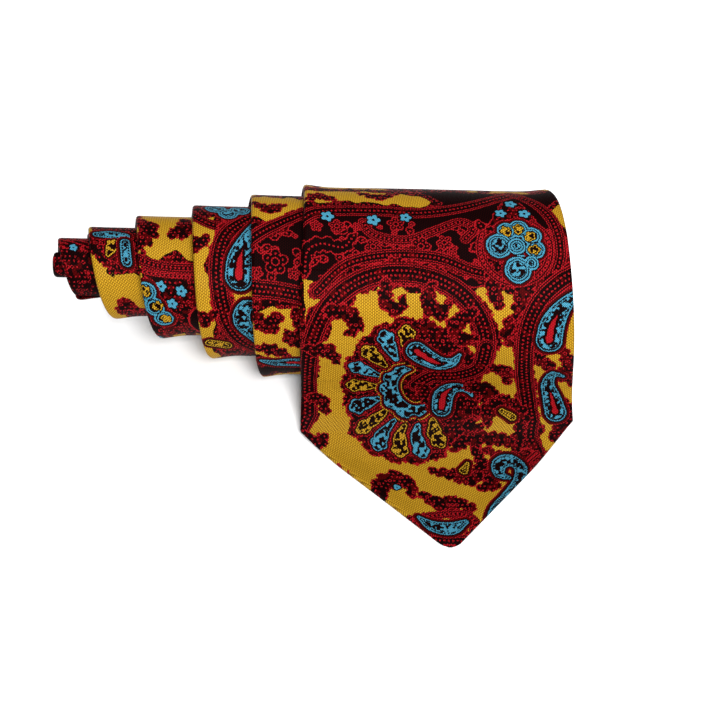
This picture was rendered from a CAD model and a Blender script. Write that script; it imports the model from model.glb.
"""A jacquard silk necktie, folded in two, rolled up and pulled out like a telescope.

Every layer is a band swept along the path of the cloth, as in the CAD: silk shells
with soft folded edges, the canvas in them, linings behind both points, the slip
stitch, the keeper loop and blank labels. The paisley is woven into the silk by
signed depths of each colour, which the material turns into threads.
Sizes are in mm on the path of the cloth and become metres in the meshes.
"""

import math

import bpy
import numpy as np
from mathutils import Matrix, Vector


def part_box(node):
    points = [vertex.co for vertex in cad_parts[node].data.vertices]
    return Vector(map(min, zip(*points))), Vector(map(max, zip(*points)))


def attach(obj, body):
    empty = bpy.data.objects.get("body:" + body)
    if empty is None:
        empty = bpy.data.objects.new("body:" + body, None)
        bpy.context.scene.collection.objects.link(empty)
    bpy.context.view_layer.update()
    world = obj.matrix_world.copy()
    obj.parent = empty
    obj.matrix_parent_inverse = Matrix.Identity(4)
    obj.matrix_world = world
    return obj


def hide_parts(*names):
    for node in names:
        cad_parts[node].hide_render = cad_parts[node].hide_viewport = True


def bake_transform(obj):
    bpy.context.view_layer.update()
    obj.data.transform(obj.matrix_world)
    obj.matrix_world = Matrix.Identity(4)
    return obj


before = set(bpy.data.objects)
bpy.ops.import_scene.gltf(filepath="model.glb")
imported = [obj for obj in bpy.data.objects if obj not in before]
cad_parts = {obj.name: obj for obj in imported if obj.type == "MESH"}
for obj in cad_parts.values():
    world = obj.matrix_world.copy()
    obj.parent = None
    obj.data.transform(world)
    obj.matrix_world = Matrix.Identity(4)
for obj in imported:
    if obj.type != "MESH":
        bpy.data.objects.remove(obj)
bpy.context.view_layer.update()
MM = 0.001

# ---------------------------------------------------------------- the path

BLADE_W, POINT_L, POINT_R, TIP_OFFSET, TIP_W, TAPER_END = 95, 46.5, 52.5, 4, 5, 720
NECK_W, TAIL_W, TAIL_POINT, TAIL_TAPER = 38, 44, 24, 400
SILK_T, CANVAS_T, PLY_GAP, TIPPING_T, SLOT, HEM = 0.35, 0.9, 0.075, 0.25, 0.7, 8
WOUND_ANGLE, HALF_GAP, TAIL_END = 2220, 0.3, 240
DRIFT, DRIFT_DIR, FLAP_REACH, BEND_R = 1.2, math.radians(40), 90, 20
TRAVEL = [15.5, 3.2, 15.5, 5.3, 12.3, 8.5, 7.4, 10.6, 1.7, 8.5]
TIE_T = 2 * SILK_T + 2 * PLY_GAP + CANVAS_T
CORE_HOLE, OUTER_SLACK, INNER_SLACK = 0.55, 0.4, 1.54
FOLD_R = 2 * TIE_T + HALF_GAP + CORE_HOLE
OUTER_PITCH = 2 * TIE_T + HALF_GAP + OUTER_SLACK
INNER_PITCH = 2 * TIE_T + HALF_GAP + INNER_SLACK
ROLL_R = FOLD_R + OUTER_PITCH + INNER_PITCH * (WOUND_ANGLE - 360) / 360


def about_axis(a, depth):
    phi = np.radians(180 - a)
    r = (
        ROLL_R
        - OUTER_PITCH * np.minimum(a, 360) / 360
        - INNER_PITCH * np.maximum(a - 360, 0) / 360
        - depth
    )
    k = DRIFT * a / 360
    return k * math.cos(DRIFT_DIR) + r * np.cos(phi), k * math.sin(DRIFT_DIR) + r * np.sin(phi)


AXIS_Z = -about_axis(np.arange(0.0, 361, 15), 0)[1].min()


def on_roll(a, depth):
    y, z = about_axis(np.asarray(a, float), depth)
    return y, z + AXIS_Z


def wound_length(a, depth):
    a = np.asarray(a, float)
    inner = np.maximum(a - 360, 0)
    lost = OUTER_PITCH * (np.minimum(a, 360) ** 2 / 720 + inner) + INNER_PITCH * inner**2 / 720
    return np.radians((ROLL_R - depth) * a - lost)


FLAP_DROP = AXIS_Z - TIE_T - BEND_R
BEND_LENGTH = math.pi / 2 * (BEND_R + TIE_T / 2)
FLOOR_LENGTH = FLAP_REACH - ROLL_R - BEND_R
FLAP_LENGTH = FLAP_DROP + BEND_LENGTH + FLOOR_LENGTH


def on_flap(down, depth):
    turned = np.clip((down - FLAP_DROP) / BEND_LENGTH, 0, 1) * math.pi / 2
    y = -ROLL_R - BEND_R + (BEND_R + depth) * np.cos(turned)
    z = TIE_T + BEND_R - (BEND_R + depth) * np.sin(turned)
    z = z + np.maximum(FLAP_DROP - down, 0)
    y = y - np.maximum(down - FLAP_DROP - BEND_LENGTH, 0)
    return y, z


def on_fold(turned, depth):
    y, z = on_roll(WOUND_ANGLE, TIE_T + HALF_GAP / 2)
    r = TIE_T + HALF_GAP / 2 - depth
    phi, t = math.radians(180 - WOUND_ANGLE), np.radians(turned)
    return (
        y + r * (np.cos(t) * math.cos(phi) + np.sin(t) * math.sin(phi)),
        z + r * (np.cos(t) * math.sin(phi) - np.sin(t) * math.cos(phi)),
    )


KNOTS = np.array([[0.0, 0.0]] + [[135 + 180 * i, sum(TRAVEL[:i])] for i in range(len(TRAVEL) + 1)])


def travel(a):
    """How far the left edge has moved to the left at an angle."""
    a = np.asarray(a, float)
    return sum(np.interp(a + o, KNOTS[:, 0], KNOTS[:, 1]) for o in (-60, -30, 0, 30, 60)) / 5


def blade_distance(a):
    return FLAP_LENGTH + wound_length(a, TIE_T / 2)


CORNER = max(POINT_L, POINT_R)


def blade_edges(v, a):
    """Edges of the blade half at a distance from its tip and an angle."""
    left = -BLADE_W / 2 - travel(a)
    width = np.clip(BLADE_W + (NECK_W - BLADE_W) * (v - CORNER) / (TAPER_END - CORNER), NECK_W, BLADE_W)
    right = left + width
    tip_l, tip_r = TIP_OFFSET - TIP_W / 2, TIP_OFFSET + TIP_W / 2
    left = np.where(v < POINT_L, tip_l + (-BLADE_W / 2 - tip_l) * v / POINT_L, left)
    right = np.where(v < POINT_R, tip_r + (BLADE_W / 2 - tip_r) * v / POINT_R, right)
    return left, right


def tail_distance(a):
    depth = 1.5 * TIE_T + HALF_GAP
    return wound_length(a, depth) - wound_length(TAIL_END, depth)


def tail_edges(a):
    v = tail_distance(a)
    width = np.clip(
        TAIL_W + (NECK_W - TAIL_W) * (v - TAIL_POINT) / (TAIL_TAPER - TAIL_POINT), NECK_W, TAIL_W,
    )
    width = np.where(v < TAIL_POINT, TIP_W + (TAIL_W - TIP_W) * v / TAIL_POINT, width)
    left, right = blade_edges(blade_distance(a), a)
    middle = (left + right) / 2
    return middle - width / 2, middle + width / 2


# The meshes are shifted into the frame of the CAD: across, so that the point lies
# where its box does, and along, so that its tip does.
point_low, point_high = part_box("blade_shell_point")
SHIFT_X = (point_low[0] + point_high[0]) / 2 / MM
SHIFT_Y = point_low[1] / MM + FLAP_REACH


def in_frame(x, y, z):
    return np.stack([np.broadcast_to(x + SHIFT_X, y.shape), y + SHIFT_Y, z], -1) * MM


def at(a, depth=TIE_T / 2):
    """A point of the frame on the roll, for the ends of a blend."""
    y, z = on_roll(a, depth)
    return (0.0, (float(y) + SHIFT_Y) * MM, float(z) * MM)


# ------------------------------------------------------------------ camera

TARGET = Vector((-27.3 + SHIFT_X, -20 + SHIFT_Y, 16)) * MM
ELEVATION, DISTANCE, ROLL = math.radians(46), 0.6, math.radians(1.3)
back = Vector((0, -math.cos(ELEVATION), math.sin(ELEVATION)))
right = Vector((1, 0, 0)) * math.cos(ROLL) + back.cross(Vector((1, 0, 0))) * math.sin(ROLL)
camera = bpy.data.objects.new("camera", bpy.data.cameras.new("camera"))
camera.data.lens, camera.data.sensor_width = 85, 36
camera.data.clip_start, camera.data.clip_end = 0.01, 20
axes = Matrix((right, back.cross(right), back)).transposed()
camera.matrix_world = Matrix.Translation(TARGET + back * DISTANCE) @ axes.to_4x4()
bpy.context.scene.collection.objects.link(camera)
bpy.context.scene.camera = camera

# ----------------------------------------------------------- woven pattern

CLIP = 1.5
COLOURS = ("deep", "bright", "gold", "blue", "dark")


def hashed(i, j, seed):
    h = np.sin(i * 127.1 + j * 311.7 + seed * 74.7) * 43758.5453
    return h - np.floor(h)


def noise(x, y, seed=0):
    """Smooth noise from 0 to 1 with features of size 1."""
    i, j = np.floor(x), np.floor(y)
    fx, fy = x - i, y - j
    fx, fy = fx * fx * (3 - 2 * fx), fy * fy * (3 - 2 * fy)
    a = hashed(i, j, seed) * (1 - fx) + hashed(i + 1, j, seed) * fx
    b = hashed(i, j + 1, seed) * (1 - fx) + hashed(i + 1, j + 1, seed) * fx
    return a * (1 - fy) + b * fy


def smooth_curve(points, pitch=1.4):
    """A Catmull-Rom curve through points, cut into pieces of about pitch."""
    p = np.array(points, float)
    p = np.vstack([2 * p[0] - p[1], p, 2 * p[-1] - p[-2]])
    out = []
    for i in range(1, len(p) - 2):
        n = max(2, int(np.hypot(*(p[i + 1, :2] - p[i, :2])) / pitch))
        t = (np.arange(n) / n)[:, None]
        a, b, c, d = p[i - 1], p[i], p[i + 1], p[i + 2]
        out.append(
            0.5
            * (
                2 * b
                + (c - a) * t
                + (2 * a - 5 * b + 4 * c - d) * t**2
                + (3 * b - a - 3 * c + d) * t**3
            )
        )
    return np.vstack(out + [p[-2:-1]])


def repeat(s, period):
    """Distance to the nearest multiple of period."""
    return np.abs((s / period + 0.5) % 1 - 0.5) * period


class Weave:
    """How deep each point of the cloth lies in each colour, in mm."""

    def __init__(self, u, v):
        self.u, self.v = u, v
        self.depth = {c: np.full(u.shape, -CLIP, np.float32) for c in COLOURS}
        self.depth["dark"][:] = CLIP
        self.where = slice(None)

    def near(self, box, margin=3.0):
        (u0, v0), (u1, v1) = box
        across = (self.u > u0 - margin) & (self.u < u1 + margin)
        along = (self.v > v0 - margin) & (self.v < v1 + margin)
        self.where = np.nonzero(across & along)[0]
        return len(self.where) > 0

    def patch(self, box):
        """Like near, with a ragged border."""
        (u0, v0), (u1, v1) = box
        if not self.near(box, 8):
            return False
        u, v = self.here()
        x = u + 9 * (noise(u / 4, v / 4, 31) - 0.5)
        y = v + 9 * (noise(u / 4, v / 4, 32) - 0.5)
        self.where = self.where[(x > u0 - 4) & (x < u1) & (y > v0) & (y < v1)]
        return len(self.where) > 0

    def here(self):
        return self.u[self.where], self.v[self.where]

    def paint(self, colour, depth):
        d = np.clip(depth, -CLIP, CLIP).astype(np.float32)
        for c, f in self.depth.items():
            g = f[self.where]
            f[self.where] = np.maximum(g, d) if c == colour else np.minimum(g, -d)

    def layers(self, d, **spread):
        """One colour over another, each spread beyond the shape."""
        for colour, by in spread.items():
            self.paint(colour, d + by)

    def rule(self, colour, d, at, half):
        """A line that follows the outline at a depth."""
        self.paint(colour, half - np.abs(d - at))

    def speckle(self, d, size, seed, share):
        """Dark specks in a shape."""
        u, v = self.here()
        self.paint("dark", np.minimum(d, 1.5 * (noise(u / size, v / size, seed) - share)))

    def stroke(self, points):
        """Depth inside a stroke of changing width, the way along it and the side."""
        curve = smooth_curve(points)
        r = curve[:, 2].max()
        self.near((curve[:, :2].min(0) - r, curve[:, :2].max(0) + r))
        u, v = self.here()
        best = np.full(u.shape, -99.0)
        way, side = np.zeros(u.shape), np.zeros(u.shape)
        done = 0.0
        for p, q in zip(curve, curve[1:]):
            du, dv = q[0] - p[0], q[1] - p[1]
            length = math.hypot(du, dv) + 1e-9
            x, y = u - p[0], v - p[1]
            t = np.clip((x * du + y * dv) / length**2, 0, 1)
            dist = np.hypot(x - t * du, y - t * dv)
            depth = p[2] + t * (q[2] - p[2]) - dist
            m = depth > best
            best[m] = depth[m]
            way[m] = (done + t * length)[m]
            side[m] = (np.sign(x * dv - y * du) * dist)[m]
            done += length
        return best, way, side

    def specks(self, pitch, seed):
        """Distance to a jittered dot in each cell of a grid, and the cell's luck."""
        u, v = self.here()
        row = np.floor(v / pitch)
        x = u / pitch + 0.5 * (row % 2)
        col = np.floor(x)
        luck = hashed(col, row, seed)
        jx = 0.5 + 0.3 * (hashed(col, row, seed + 1) - 0.5)
        jy = 0.5 + 0.3 * (hashed(col, row, seed + 2) - 0.5)
        return np.hypot(x - col - jx, v / pitch - row - jy) * pitch, luck

    def lace(self, d, seed=1, edge="bright", rough=1.0):
        """Deep red with a bright edge, dots, rings and dark flecks in it."""
        u, v = self.here()
        d = d + rough * (noise(u / 1.0, v / 1.0, seed) - 0.5)
        self.paint(edge, d)
        self.paint("deep", d - 0.4)
        flecks = 1.3 * (noise(u / 1.3, v / 1.3, seed + 5) - 0.36)
        self.paint("dark", np.minimum(d - 0.7, flecks))
        r, luck = self.specks(1.65, seed)
        self.paint("bright", np.minimum(d - 0.55, np.where(luck < 0.62, 0.36 - r, -1)))
        ring = np.where(luck > 0.8, 0.17 - np.abs(r - 0.55), -1)
        self.paint("bright", np.minimum(d - 0.8, ring))

    def fringe(self, points, half, seed=1, reach=2.4):
        """A ragged red border along both sides of a ribbon, with lobes and hooks."""
        d, way, side = self.stroke([(u, v, half) for u, v in points])
        hand = np.where(side > 0, 11.0, 0.0)
        lobes = reach * (noise(way / 3.6, hand + seed, seed) - 0.22)
        self.lace(d + lobes * 1.25, seed, rough=1.5)

    def ribbon(self, points, half, rows=1, fringe=0.0, seed=1):
        """A band with two bright lines along each side and rows of dots between."""
        if fringe:
            self.fringe(points, half, seed, fringe)
        d, way, side = self.stroke([(u, v, half) for u, v in points])
        u, v = self.here()
        self.paint("deep", d)
        self.paint("dark", np.minimum(d - 0.5, 1.8 * (noise(u / 1.1, v / 1.1, 4) - 0.26)))
        self.rule("dark", d, 0.68, 0.2)
        self.rule("bright", d, 0.3, 0.16)
        self.rule("bright", d, 1.06, 0.14)
        self.rule("dark", d, 1.35, 0.12)
        for k in range(rows):
            off = (k - (rows - 1) / 2) * 1.6
            shift = 0.7 * (k % 2)
            dots = 0.38 - np.hypot(repeat(way + shift, 1.45), side - off)
            self.paint("bright", np.minimum(dots, d - 0.6))

    def drop(self, points, colour="blue", core=True):
        """A boteh: two lines with dashes between, a speckled filling, a red core."""
        d, way, side = self.stroke(points)
        u, v = self.here()
        self.layers(d, bright=1.4, deep=1.15, dark=0.5)
        self.paint(colour, d)
        dashes = np.minimum(0.32 - repeat(way, 0.95), np.minimum(d - 0.38, 1.0 - d))
        self.paint("dark", dashes)
        self.speckle(d - 1.15, 0.75, 6, 0.42)
        if core:
            widest = max(p[2] for p in points)
            self.paint("dark", d - 0.56 * widest)
            heart = d - 0.74 * widest + 0.5 * (noise(u / 0.8, v / 0.8, 2) - 0.5)
            self.paint("bright", heart)

    def cloud(self, lobes, colour="blue", inside=1.9, halo=1.3, fill=False):
        """Round lobes with lines that follow their outline."""
        reach = max(r for _, _, r in lobes)
        us, vs = [p[0] for p in lobes], [p[1] for p in lobes]
        box = ((min(us) - reach, min(vs) - reach), (max(us) + reach, max(vs) + reach))
        if not self.near(box):
            return
        u, v = self.here()
        d = np.max([r - np.hypot(u - x, v - y) for x, y, r in lobes], 0)
        d = d + 0.3 * (noise(u / 0.9, v / 0.9, 3) - 0.5)
        self.layers(d, bright=halo, deep=halo - 0.3, dark=0.35)
        self.paint(colour, d)
        self.rule("dark", d, 0.75, 0.2)
        self.rule("dark", d, 1.6, 0.2)
        if fill:
            self.paint("dark", d - inside)
        else:
            self.speckle(d - inside, 0.75, 6, 0.45)

    def blossom(self, u0, v0, size, petals=5, colour="blue"):
        if not self.near(((u0 - size, v0 - size), (u0 + size, v0 + size))):
            return
        u, v = self.here()
        phi, r = np.arctan2(v - v0, u - u0), np.hypot(u - u0, v - v0)
        d = size * (0.62 + 0.38 * np.abs(np.cos(petals * phi / 2))) - r
        self.paint("dark", d + 0.55)
        self.paint(colour, d)
        self.paint("dark", 0.22 * size - r)

    def petal(self, u0, v0, way, length, width, colour, seed, halo=True):
        """A petal from a point outwards, with a lobed end and a speckled inside."""
        c, s = math.cos(math.radians(way)), math.sin(math.radians(way))
        spine = ((0, 0.4), (0.5, 0.8), (0.9, 1.0))
        d, along, _ = self.stroke([(u0 + f * length * c, v0 + f * length * s, w * width) for f, w in spine])
        u, v = self.here()
        turn = np.arctan2(v - v0 - 0.8 * length * s, u - u0 - 0.8 * length * c)
        lobes = 0.75 * np.abs(np.cos(2.5 * (turn - math.radians(way)))) - 0.3
        d = d + lobes * np.clip(along / length, 0, 1)
        if halo:
            self.layers(d, bright=0.95, deep=0.7)
        self.paint("dark", d + 0.35)
        self.paint(colour, d)
        self.speckle(d - 0.36, 0.8, seed, 0.38 if colour == "gold" else 0.42)

    def flame(self, points, seed=1):
        """A ragged red leaf with a scalloped outline."""
        d, way, side = self.stroke([(u, v, r + 0.35) for u, v, r in points])
        hand = np.where(side > 0, 1.1, 0.0)
        lumps = 1.1 * np.abs(np.sin(way * 0.95 + seed + hand)) - 0.55
        self.lace(d + lumps, seed)

    def scroll(self, points, seed=1):
        """A bright outline on the dark ground, with dots in it."""
        d, way, side = self.stroke(points)
        u, v = self.here()
        d = d + 0.8 * np.abs(np.sin(way * 0.9 + seed)) - 0.4
        d = d + 0.5 * (noise(u / 0.9, v / 0.9, seed) - 0.5)
        self.paint("deep", d)
        self.paint("dark", d - 0.6)
        self.rule("bright", d, 0.2, 0.23)
        dots = 0.38 - np.hypot(repeat(way, 1.5), side)
        self.paint("bright", np.minimum(dots, d - 0.7))

    def scatter(self, box, pitch, seed):
        """Outlined flowers and leaves thrown over a dark ground."""
        (u0, v0), (u1, v1) = box
        k = 0
        for i in range(int((u1 - u0) / pitch)):
            for j in range(int((v1 - v0) / pitch)):
                k += 1
                h = [float(hashed(i + 1.0, j + 1.0, seed + n)) for n in range(5)]
                x = u0 + (i + 0.25 + 0.5 * h[0]) * pitch
                y = v0 + (j + 0.25 + 0.5 * h[1]) * pitch
                turn, r = h[2] * 2 * math.pi, pitch * (0.3 + 0.12 * h[3])
                if h[4] < 0.4:
                    self.rosette(x, y, r, k)
                else:
                    c, t = math.cos(turn) * r, math.sin(turn) * r
                    self.scroll(
                        [(x - c, y - t, 0.9), (x + 0.4 * t, y - 0.4 * c, 0.5 * r), (x + c, y + t, 1.0)], k,
                    )

    def rosette(self, u0, v0, size, seed=1):
        """An outlined flower on the dark ground."""
        if not self.near(((u0 - size, v0 - size), (u0 + size, v0 + size))):
            return
        u, v = self.here()
        phi, r = np.arctan2(v - v0, u - u0) + seed, np.hypot(u - u0, v - v0)
        d = size * (0.66 + 0.34 * np.abs(np.cos(2.5 * phi))) - r
        self.paint("deep", d)
        self.paint("dark", d - 0.6)
        self.rule("bright", d, 0.25, 0.22)
        self.rule("bright", r, 0.28 * size, 0.2)
        dots = 0.3 - np.abs(r - 0.58 * size)
        self.paint("bright", np.minimum(dots, 0.5 * np.cos(10 * phi)))

    def ground(self, box, seed, share):
        """Patches of gold and of dark ground with ragged red borders."""
        if not self.near(box, 0):
            return
        u, v = self.here()
        n = (
            noise(u / 17, v / 21, seed) * 0.6
            + noise(u / 8, v / 9, seed + 1) * 0.28
            + noise(u / 3.2, v / 3.2, seed + 2) * 0.12
        )
        d = (n - share) * 26
        self.lace(d + 3.0, seed + 3)
        self.paint("gold", d)


def medallion(w, u0, v0, size, start, end, seed, stretch=1.22, n=11):
    """A tall flower: a ragged red ring, petals round a lobed blue crescent."""
    if w.near(((u0 - size, v0 - size * stretch), (u0 + size, v0 + size * stretch))):
        u, v = w.here()
        x, y = u - u0, (v - v0) / stretch
        phi, r = np.arctan2(y, x), np.hypot(x, y)
        edge = size * 0.95 + 1.3 * np.abs(np.sin(9 * phi + seed))
        w.lace(edge - r, seed, rough=1.4)

    def ray(phi, share):
        t = math.radians(phi)
        return u0 + share * size * math.cos(t), v0 + share * size * stretch * math.sin(t)

    for i in range(n):
        phi = start + (end - start) * i / (n - 1)
        (x0, y0), (x1, y1) = ray(phi, 0.51), ray(phi, 0.83 + 0.02 * (i % 2))
        way = math.degrees(math.atan2(y1 - y0, x1 - x0))
        length = math.hypot(x1 - x0, y1 - y0)
        w.petal(x0, y0, way, length, 0.103 * size, "blue" if i % 2 else "gold", seed + i)
    arc = np.linspace(start + 2, end + 6, 9)
    radii = (0.8, 1.7, 2.3, 2.7, 2.9, 2.7, 2.3, 1.7, 0.8)
    d, way, _ = w.stroke([(*ray(t, 0.31), r) for t, r in zip(arc, radii)])
    u, v = w.here()
    outer = np.hypot(u - u0, (v - v0) / stretch) > 0.31 * size
    d = d + np.where(outer, 1.4 * np.abs(np.sin(way * 0.6)) - 0.5, -0.1)
    w.layers(d, gold=1.5, bright=1.2, deep=0.9, dark=0.45, blue=0)
    w.speckle(d - 0.35, 0.8, seed + 9, 0.43)


PATTERN_START = 2.0  # how far up the repeat the tip was cut


def silk_pattern(u, v, tail=False):
    """Depths of deep red, bright red, gold and blue over the cloth's own plane."""
    shape = u.shape
    u, v = u.ravel().astype(float), v.ravel().astype(float)
    v = v + (1700 if tail else PATTERN_START)
    w = Weave(u, v)
    draw_repeat(w, u, v)
    if v.min() < 900:
        draw_blade(w)
    return np.stack([w.depth[c].reshape(shape) for c in COLOURS[:4]], -1)


def draw_repeat(w, u, v):
    """The repeat of the cloth: grounds, long ribbons, drops and flowers."""
    low, high = v.min() - 20, v.max() + 20
    everywhere = ((-120, low), (120, high))
    w.ground(everywhere, 3, 0.545)
    for k in range(int(low // 70), int(high // 70) + 1):
        v0 = k * 70.0
        turn = 1 if k % 2 else -1
        for u0 in (-72, -24, 24, 72):
            s = turn * (1 if (u0 // 24) % 4 else -1)

            def here(*points):
                return [(u0 + p[0] * s, v0 + p[1], *p[2:]) for p in points]

            w.ribbon(here((-20, -4), (-12, 14), (2, 22), (13, 36), (8, 50), (-4, 52)), 3.3)
            w.drop(here((2, 36, 3.7), (1, 41, 3.0), (-3, 45, 1.7), (-7, 45, 0.5)))
            w.rosette(u0 - 12 * s, v0 + 33, 4.6, k)
            w.scroll(here((-20, 24, 1.2), (-18, 38, 2.0), (-11, 44, 1.2)), k)
            w.flame(here((14, 12, 1.0), (17, 18, 2.2), (21, 20, 1.4)), k)
            w.blossom(u0 + 3 * s, v0 + 7, 1.9)
            w.blossom(u0 + 8 * s, v0 + 3, 1.6)


def draw_blade(w):
    """The motifs of the wide end and of the edges that show at each turn."""
    # Ground of the lower blade, gold, and of the upper part, dark
    if w.patch(((-49, -5), (55, 152))):
        u, v = w.here()
        rough = noise(u / 3.0, v / 3.4, 11) - 0.5
        top = 106 - 0.25 * np.maximum(u - 16, 0)
        d = np.minimum(np.minimum(top - v, u + 42.5), 0.8 * (u + 43) + 0.5 * (98 - v) + 4)
        d = np.minimum(d, v - 5.5) + 5 * rough
        w.lace(151 - v + 5 * rough, 15)
        w.paint("dark", 148.5 - v + 5 * rough)
        w.lace(np.minimum(107 - v, d + 9), 12)
        w.paint("gold", d)
    w.scatter(((-48, 111), (48, 136)), 6.4, 5)

    # Upper part: a gold strip above dark ground with outlined scrolls and flowers
    if w.near(((-49, 132), (6, 151)), 0):
        u, v = w.here()
        d = 4.2 - np.abs(v - 142.0 - 1.6 * np.sin((u + 40) / 9)) - np.maximum(u + 4, 0)
        d = d + 1.8 * (noise(u / 3.2, v / 2.2, 8) - 0.5)
        w.lace(d + 4.0, 6)
        w.paint("gold", d)
    w.flame([(-43, 139, 1.0), (-38, 142, 2.0), (-33, 140, 1.0)], 2)
    w.flame([(-24, 146, 1.0), (-18, 143, 1.8), (-12, 146, 1.0)], 3)
    w.ribbon([(-48, 126), (-38, 133), (-20, 134.5), (-4, 134), (12, 138), (28, 147)], 2.7)
    w.ribbon([(-24, 129), (-21, 124), (-10, 122), (0, 126), (9, 130), (13, 127), (10, 123)], 1.9)
    w.scroll([(-44, 109, 1.4), (-43, 117, 2.4), (-38, 120, 2.6), (-31, 119, 2.4), (-27, 124, 1.2)], 3)
    w.scroll([(12, 119, 1.2), (17, 123, 2.4), (15, 130, 1.4)], 3)
    for u0, v0, size in (
        (-13, 128.5, 3.2), (-5, 120, 3.6), (3, 121.5, 2.9), (-21, 119.5, 3.0), (-33, 127, 2.9),
    ):
        w.rosette(u0, v0, size, u0)
    w.blossom(-36, 131, 2.3)
    w.blossom(-20.5, 130, 2.4)
    w.blossom(-9.5, 131.5, 2.0)

    # The great curl round the flower
    w.ribbon([(-40, 104), (-30, 113), (-16, 116.5), (0, 116), (12, 112), (22, 110)], 2.3, fringe=1.6)
    w.ribbon(
        [
            (-44, 22), (-45.5, 40), (-45, 56), (-44.5, 72), (-42, 88), (-35, 101), (-23, 109),
            (-8, 110.5), (6, 106), (14.5, 96), (16.5, 84), (12, 75), (4, 71), (-4, 70.5),
        ],
        3.5, 2, fringe=2.4, seed=3,
    )
    w.flame([(31, 112, 2.4), (29, 104, 3.0), (27.5, 94, 2.2), (28.5, 84, 1.4)], 17)
    w.flame([(19, 112, 2.6), (19, 105, 2.2), (21, 101, 1.2)], 18)
    medallion(w, -8.5, 66.5, 25, 95, 304, 2)
    w.ribbon([(16.5, 86), (14, 77), (6, 73), (-2, 72.5), (-7, 68)], 3.3, 2)
    w.flame([(-5, 66, 2.6), (-2, 62, 3.4), (-1, 57, 1.8)], 8)
    w.drop([(-7, 84, 3.6), (-4, 81.5, 3.6), (0.5, 79, 3.0), (5, 79.6, 1.8), (7.5, 83, 0.6)])
    w.drop([(1.5, 58.5, 3.4), (2.3, 63.5, 3.4), (5.5, 67, 2.3), (10, 66.5, 1.4), (12, 63.5, 0.5)])
    for points, s in (
        ([(-17, 107, 1.6), (-17, 101, 2.2), (-13, 99, 2.0), (-11, 102, 1.2)], 1),
        ([(-2, 107, 1.6), (-3, 101, 2.4), (1, 98, 2.2), (3, 101, 1.2)], 2),
        ([(12, 98, 1.8), (6, 94, 2.6), (8, 89, 2.2), (12, 90, 1.4)], 3),
        ([(-36, 98, 1.8), (-30, 97, 2.6), (-27, 93, 2.2), (-30, 90, 1.2)], 4),
        ([(-43, 84, 1.8), (-37, 83, 2.6), (-34, 79, 1.4)], 5),
        ([(-44, 62, 1.6), (-40, 60, 2.2), (-39, 56, 1.2)], 6),
        ([(-44, 46, 2.4), (-40, 44, 2.6), (-37, 47, 1.2)], 7),
        ([(-40, 30, 1.0), (-34, 33, 2.0), (-31, 30, 1.4)], 8),
        ([(-22, 18, 2.0), (-20, 26, 3.0), (-15, 30, 3.2), (-10, 27, 2.4), (-10, 23, 1.2)], 9),
        ([(12, 68, 2.4), (17, 66, 3.2), (18, 60, 2.6), (14, 57, 1.4)], 10),
        ([(12, 52, 2.0), (16, 49, 2.6), (15, 44, 1.6)], 14),
        ([(19, 77, 1.6), (23, 76, 2.4), (24, 71, 1.2)], 11),
        ([(24, 96, 1.4), (24, 90, 2.2), (27, 86, 1.2)], 12),
        ([(42, 86, 1.4), (45, 80, 2.6), (43, 75, 2.2), (46, 72, 1.4)], 13),
        ([(44, 62, 1.6), (46, 56, 2.4), (43, 50, 2.2), (45, 46, 1.2)], 15),
        ([(34, 88, 1.0), (35, 82, 2.2), (38, 79, 2.0)], 16),
    ):
        w.flame(points, s)
    w.blossom(-14.5, 26, 1.3, 3)

    # Right side: the frame of the lobed flower, the long ribbon and two drops
    if w.near(((36, 110), (49, 150)), 0):
        u, v = w.here()
        d = u - 42 + 2.2 * np.sin(v / 3.4) - np.abs(v - 134) * 0.28
        w.lace(d + 3.0, 2)
        w.paint("gold", d)
    w.ribbon([(28, 149), (36, 139), (40.5, 129), (41.5, 117), (37, 107)], 2.2)
    w.ribbon(
        [(49, 113), (41, 109), (34, 102), (30, 92), (29.5, 78), (31, 64), (33, 52), (36, 42), (38, 30)],
        3.3, 2, fringe=2.2, seed=7,
    )
    if w.near(((12, 104), (42, 141)), 0):
        u, v = w.here()
        w.lace(12.5 - np.hypot(u - 26.5, v - 120), 3)
        w.lace(np.minimum(8 - np.abs(u - 27) - 0.5 * (v - 131), v - 128), 4)
    circle = [(26.5 + 11.8 * math.cos(t), 120 + 11.8 * math.sin(t)) for t in np.linspace(-3.6, 1.0, 15)]
    w.ribbon(circle, 1.5)
    w.cloud([(21.2, 120.8, 4.3), (27.2, 112.6, 4.4), (29, 122, 5)], inside=99)
    w.cloud(
        [(24.2, 126.6, 3.3), (28.4, 127.6, 3.4), (32.4, 124.8, 3.4), (33.4, 119.8, 3.2)], inside=1.8,
        fill=True,
    )
    for u0, v0, way in ((24.6, 125, 115), (28.0, 125.8, 85), (30.8, 123.4, 45), (31.4, 119.6, 5)):
        w.petal(u0, v0, way, 2.0, 1.45, "gold", 3, halo=False)
    w.cloud([(21.2, 120.8, 4.3)], halo=0)
    w.cloud([(27.2, 112.6, 4.4), (31.8, 115, 2.4)], halo=0)
    w.cloud([(27.2, 120.8, 2.9)], halo=0)
    w.blossom(27, 140, 2.1)
    w.blossom(23, 134.5, 2.0)
    w.blossom(31, 134.5, 2.1)
    w.drop([(37.5, 89.5, 4.4), (38.5, 95, 4.0), (42, 101, 2.6), (48, 106.5, 1.0)])
    w.drop([(41, 58, 3.7), (39.5, 64, 3.1), (38, 70, 2.2), (39.5, 75, 1.3), (43, 74.5, 0.5)])

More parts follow.
